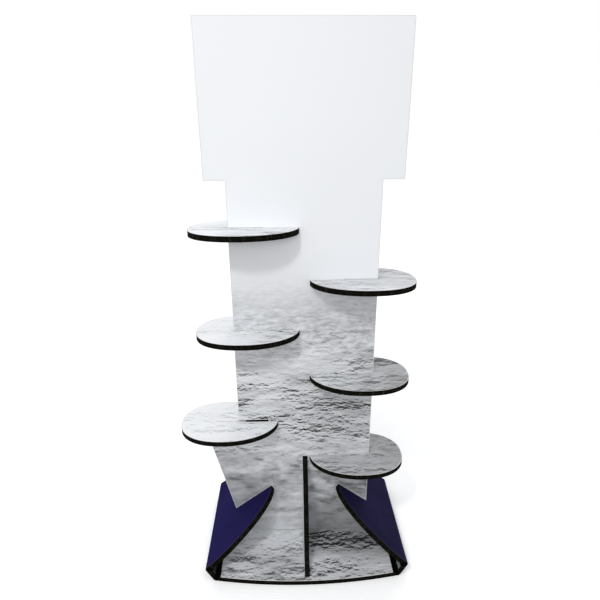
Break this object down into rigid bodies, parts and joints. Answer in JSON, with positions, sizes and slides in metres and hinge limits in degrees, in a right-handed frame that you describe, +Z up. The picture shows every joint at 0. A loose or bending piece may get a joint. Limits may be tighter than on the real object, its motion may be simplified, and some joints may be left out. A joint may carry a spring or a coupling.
{
  "type": "shoe display stand",
  "caption": "Tall slot-together board stand: a headed upright panel with staggered egg-shaped shelves on both sides, a front fin and a folded base with wings.",
  "frame": {"origin": "middle of the floor plate's underside, below the middle of the panel", "axes": "+Z up, +X to the right seen from the front, -Y to the front"},
  "size_m": [0.712, 0.426, 1.6],
  "materials": {
    "panel_board": "matt print on white paper, black fluted core at the cut edges",
    "shelf_board": "matt print on white paper, black fluted core at the cut edges",
    "fin_board": "matt print on white paper, black fluted core at the cut edges",
    "base_board": "matt navy and stone-grey print, black fluted core at the cut edges"
  },
  "bodies": {
    "root": {"back_panel": "panel_board", "shelf_left_top": "shelf_board", "shelf_left_middle": "shelf_board", "shelf_left_bottom": "shelf_board", "shelf_right_top": "shelf_board", "shelf_right_middle": "shelf_board", "shelf_right_bottom": "shelf_board", "front_fin": "fin_board", "base": "base_board"}
  },
  "joints": []
}
